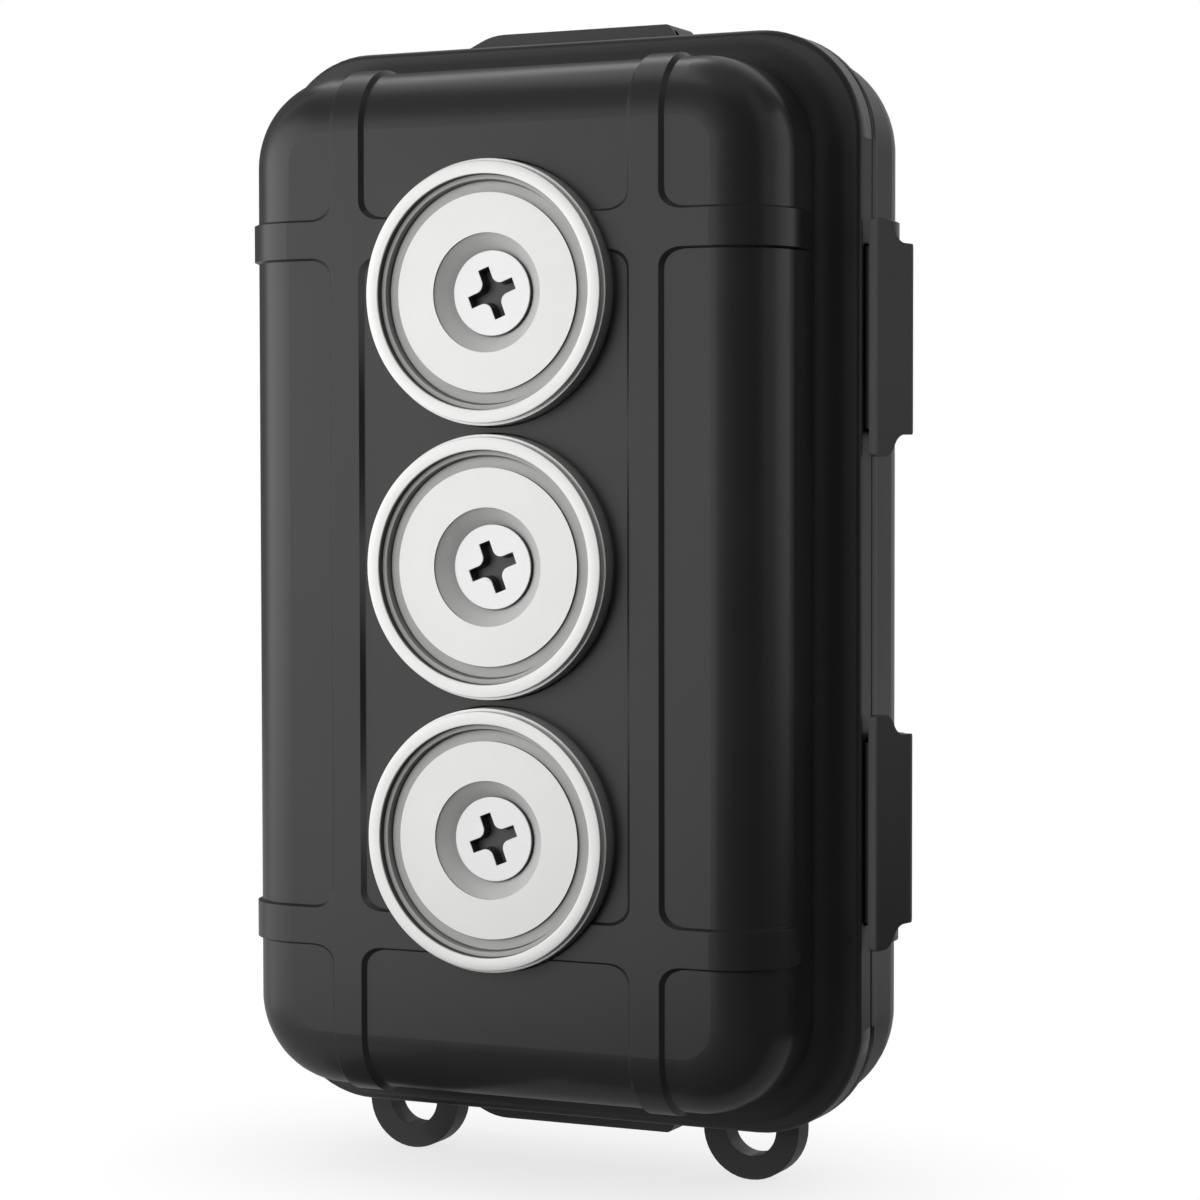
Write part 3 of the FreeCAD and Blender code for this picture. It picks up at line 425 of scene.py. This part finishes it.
for place, pitches in magnetPlaces.items():
    centre = magnetAxes["lift"] + pitches * magnetAxes["pitch"]
    for kind, profile, node in (("PouredResin", resinProfile(), "_potting_ring"),
                                ("TurnedCup", cupProfile(), "_magnet_cup")):
        addPiece(place + kind, turnedRing(place + kind, profile, centre), place + node)
print("magnets turned and filled")

# the CAD meshes have doubled points: a copy has them made one, and where asked its flat faces too
merging = {"within": 0.0005 * mm, "flatWithin": 1.0}  # a distance, and an angle in degrees


def mergedCopy(nodeName, suffix, flatten):
    work = bmesh.new()
    work.from_mesh(frame["nodes"][nodeName].data)
    bmesh.ops.remove_doubles(work, verts=work.verts, dist=merging["within"])
    if flatten:
        bmesh.ops.dissolve_limit(work, angle_limit=math.radians(merging["flatWithin"]),
                                 verts=work.verts, edges=work.edges)
    mesh = bpy.data.meshes.new(nodeName + suffix)
    work.to_mesh(mesh)
    work.free()
    return mesh


# moulded latches and pressed screw heads have no sharp edge: a merged copy of each with its edges
# rounded by this width wherever two faces turn by more than turnFrom degrees
softWidths = {"upper_latch": 0.22 * mm, "lower_latch": 0.22 * mm, "magnet_screws": 0.08 * mm}
softEdge = {"turnFrom": 35, "segments": 3, "flatWeight": 90}


def softened(nodeName, width):
    mesh = mergedCopy(nodeName, "Soft", True)
    mesh.shade_smooth()
    piece = addPiece(nodeName + "Soft", mesh, nodeName)
    bevel = piece.modifiers.new("softEdge", "BEVEL")
    bevel.width, bevel.segments = width, softEdge["segments"]
    bevel.limit_method, bevel.angle_limit = "ANGLE", math.radians(softEdge["turnFrom"])
    bevel.use_clamp_overlap = True
    piece.modifiers.new("flatFaces", "WEIGHTED_NORMAL").weight = softEdge["flatWeight"]


for nodeName, width in softWidths.items():
    softened(nodeName, width)
print("edges softened")

# the halves meet in a fine V all round the case: a merged copy of each with its parting edge
# broken along the case's outline, which is this rounded rectangle
partingEdge = {"depth": 24.7 * mm, "width": 81.2 * mm, "height": 135.0 * mm, "corner": 13.5 * mm,
               "broken": 0.25 * mm, "segments": 2, "near": 0.03 * mm}


def outlineDistance(points):
    # distance of (x, z) from a rounded rectangle: past its inner corner's centre, less the
    # corner's radius
    cfg = partingEdge
    centre = np.array([cfg["width"], cfg["height"]]) / 2 - cfg["corner"]
    past = np.abs(points[:, [0, 2]]) - centre
    return np.linalg.norm(np.maximum(past, 0), axis=1) + np.minimum(past.max(1), 0) - cfg["corner"]


def brokenAtParting(nodeName):
    cfg = partingEdge
    mesh = mergedCopy(nodeName, "Broken", False)
    # the shading of the surfaces before the merge: both meshes have the same face corners
    normals = [item.vector[:] for item in frame["nodes"][nodeName].data.corner_normals]
    mesh.normals_split_custom_set(normals)
    points = np.array([vertex.co for vertex in mesh.vertices])
    onLine = np.abs(points[:, 1] - cfg["depth"]) < cfg["near"]
    onLine &= np.abs(outlineDistance(points)) < cfg["near"]
    ends = np.array([edge.vertices for edge in mesh.edges])
    weights = mesh.attributes.new("bevel_weight_edge", "FLOAT", "EDGE")
    weights.data.foreach_set("value", onLine[ends].all(1).astype(np.float32))
    bevel = addPiece(nodeName + "Broken", mesh, nodeName).modifiers.new("brokenEdge", "BEVEL")
    bevel.width, bevel.segments, bevel.limit_method = cfg["broken"], cfg["segments"], "WEIGHT"
    bevel.use_clamp_overlap, bevel.harden_normals = False, True


for nodeName in ("base_shell", "lid_shell"):
    brokenAtParting(nodeName)
print("parting edges broken")

# place, lens and sensor in mm, the nearest distance drawn in metres, then the camera's own axes
cameraView = {"place": (179.95, -350.26, 13.53), "lens": 98.413, "sensor": 36.0, "nearest": 0.01,
              "right": (0.90542, 0.42454, -0.00159), "up": (-0.01478, 0.03527, 0.99927),
              "back": (0.42429, -0.90473, 0.03821)}


def makeCamera():
    data = bpy.data.cameras.new("camera")
    data.lens = cameraView["lens"]
    data.sensor_width = cameraView["sensor"]
    data.clip_start = cameraView["nearest"]
    camera = addObject("camera", data)
    axes = Matrix([cameraView[k] for k in ("right", "up", "back")]).transposed()
    camera.matrix_world = Matrix.Translation(Vector(cameraView["place"]) * mm) @ axes.to_4x4()
    bpy.context.scene.camera = camera


makeCamera()

# a tent of cards round a soft front light, in metres and degrees: azimuth runs from the front
# towards +X, and shade 0 is black
studio = {
    "floorSize": 6.0,
    "floorColour": "#f4f4f4",
    "floorRough": 0.8,
    "fill": 1.0,
    "contactDistance": 0.03,
    "contactShade": 0.75,
    "contactSamples": 8,
    "lamps": {  # azimuth, height angle, distance m, size m, watts, seen in gloss
        "leftBox": (-61, 10, 0.68, (0.66, 0.6), 1.15, True),
        "topBox": (-138, 54, 0.68, (0.3, 0.16), 0.29, True),
        "frontFill": (-12, 15, 0.68, (0.5, 0.5), 4.5, False),
        "backFill": (175, 15, 0.68, (0.5, 0.5), 4.2, False),
    },
    "cards": {  # azimuth from, to, height angle from, to, shade
        "rightEdge": (-10, 10, -25, 58, 0.15),
        "rightCard": (10, 74, -25, 58, 0.0),
        "rightSoft": (74, 103, -25, 58, 0.35),
        "rightSlit": (103, 140, -25, 35, 0.75),
        "slitHead": (103, 140, 35, 58, 0.1),
        "sideCard": (140, 158, -25, 40, 0.04),
        "sideHead": (140, 158, 40, 58, 0.3),
        "rearWindow": (158, 200, -25, 58, 0.55),
        "backCard": (200, 266, -25, 58, 0.15),
        "browEdge": (-88, -10, 14, 24, 0.6),
        "browCard": (-88, -10, 24, 64, 0.12),
        "crownCard": (-10, 240, 58, 76, 0.25),
        "capCard": (0, 360, 76, 90, 0.25),
    },
    "cardDistance": 0.75,
    "cardGrid": (24, 12),  # points along azimuth and height angle
    "floorCards": {  # azimuth from, to, radius from, to, shade
        "nearCard": (-50, 100, 0.001, 0.1, 0.05),
        "nearBack": (100, 220, 0.001, 0.1, 0.25),
        "underLeft": (-140, -50, 0.001, 0.032, 0.05),
        "nearLeft": (-140, -50, 0.032, 0.1, 0.4),
        "floorRight": (-10, 150, 0.1, 0.72, 0.0),
        "floorBack": (150, 266, 0.1, 0.72, 0.5),
    },
    "floorCardGrid": (49, 8),  # points along azimuth and radius
    "floorCardLift": 0.2 * mm,
}


def whiteForViewers(tree, plain, white):
    # camera, glossy and transmission rays see white, every other ray the plain shade
    path = addNode(tree, "ShaderNodeLightPath")
    either = addMath(tree, "MAXIMUM", (path, "Is Camera Ray"), (path, "Is Glossy Ray"))
    seen = addMath(tree, "MAXIMUM", (either, 0), (path, "Is Transmission Ray"))
    return addNode(tree, "ShaderNodeMixShader", [(0, seen, 0), (1, plain, 0), (2, white, 0)])


def makeWorld():
    world = bpy.data.worlds.new("studioWorld")
    bpy.context.scene.world = world
    world.cycles.sampling_method = "NONE"  # so that Light Path tells the rays apart exactly
    world.use_nodes = True
    tree = world.node_tree
    plain = tree.nodes["Background"]
    plain.inputs["Color"].default_value = pureWhite
    plain.inputs["Strength"].default_value = studio["fill"]
    white = addNode(tree, "ShaderNodeBackground", Color=pureWhite, Strength=1.0)
    mix = whiteForViewers(tree, plain, white)
    tree.links.new(mix.outputs[0], tree.nodes["World Output"].inputs["Surface"])


def direction(azimuth, height):
    # unit vectors from degrees: x = sin a cos h, y = -cos a cos h, z = sin h
    a, h = np.radians(azimuth), np.radians(height)
    return np.stack([np.sin(a) * np.cos(h), -np.cos(a) * np.cos(h), np.sin(h)], -1)


def makeLamps():
    for name, (azimuth, height, distance, size, watts, inGloss) in studio["lamps"].items():
        data = bpy.data.lights.new(name, "AREA")
        data.shape = "RECTANGLE"
        data.size, data.size_y = size
        data.energy = watts
        lamp = addObject(name, data)
        towards = Vector(direction(azimuth, height))
        lamp.location = towards * distance
        lamp.rotation_euler = towards.to_track_quat("Z", "Y").to_euler()
        lamp.visible_camera = False
        lamp.visible_glossy = inGloss


def makeFloor():
    level, half = cadBox[0][2], studio["floorSize"] / 2
    corners = [(x * half, y * half, level) for x, y in ((-1, -1), (1, -1), (1, 1), (-1, 1))]
    mesh = bpy.data.meshes.new("floor")
    mesh.from_pydata(corners, [], [(0, 1, 2, 3)])
    floor = addObject("floor", mesh)
    material, tree, shader = newMaterial("paleFloor", Base_Color=linear(studio["floorColour"]),
                                         Roughness=studio["floorRough"])
    # white, less the shade that the object leaves where it stands
    near = addNode(tree, "ShaderNodeAmbientOcclusion", settings={"samples": studio["contactSamples"]},
                   Distance=studio["contactDistance"])
    shade = addRange(tree, (near, "AO"), 0.0, 1.0, studio["contactShade"], 1.0)
    white = addNode(tree, "ShaderNodeEmission", [("Strength", shade, "Result")], Color=pureWhite)
    mix = whiteForViewers(tree, shader, white)
    tree.links.new(mix.outputs[0], tree.nodes["Material Output"].inputs["Surface"])
    floor.data.materials.append(material)


def addCard(name, points, shade):
    # a grid of points made a card that only reflections and soft light meet
    index = np.arange(points.shape[0] * points.shape[1]).reshape(points.shape[:2])
    faces = np.stack([index[:-1, :-1], index[1:, :-1], index[1:, 1:], index[:-1, 1:]], -1).reshape(-1, 4)
    mesh = bpy.data.meshes.new(name)
    mesh.from_pydata(points.reshape(-1, 3).tolist(), [], faces.tolist())
    material, tree, shader = newMaterial(name, Base_Color=(0, 0, 0, 1), Roughness=1.0,
                                         Specular_IOR_Level=0.0, Emission_Color=pureWhite,
                                         Emission_Strength=shade)
    mesh.materials.append(material)
    card = addObject(name, mesh)
    card.visible_camera = False
    card.visible_shadow = False


def gridOf(first, second, counts):
    return np.meshgrid(np.linspace(*first, counts[0]), np.linspace(*second, counts[1]), indexing="ij")


def makeCards():
    for name, (a0, a1, h0, h1, shade) in studio["cards"].items():
        # a patch of a sphere: azimuth and height angle are its two parameters
        patch = direction(*gridOf((a0, a1), (h0, h1), studio["cardGrid"]))
        addCard(name, studio["cardDistance"] * patch, shade)
    level = cadBox[0][2] + studio["floorCardLift"]
    for name, (a0, a1, r0, r1, shade) in studio["floorCards"].items():
        # a sector of a flat ring just above the floor
        azimuth, radius = gridOf((a0, a1), (r0, r1), studio["floorCardGrid"])
        sector = direction(azimuth, np.zeros_like(azimuth)) * radius[..., None]
        addCard(name, sector + [0, 0, level], shade)


makeWorld()
makeLamps()
makeFloor()
makeCards()
bpy.context.scene.view_settings.view_transform = "Standard"
print("studio set")
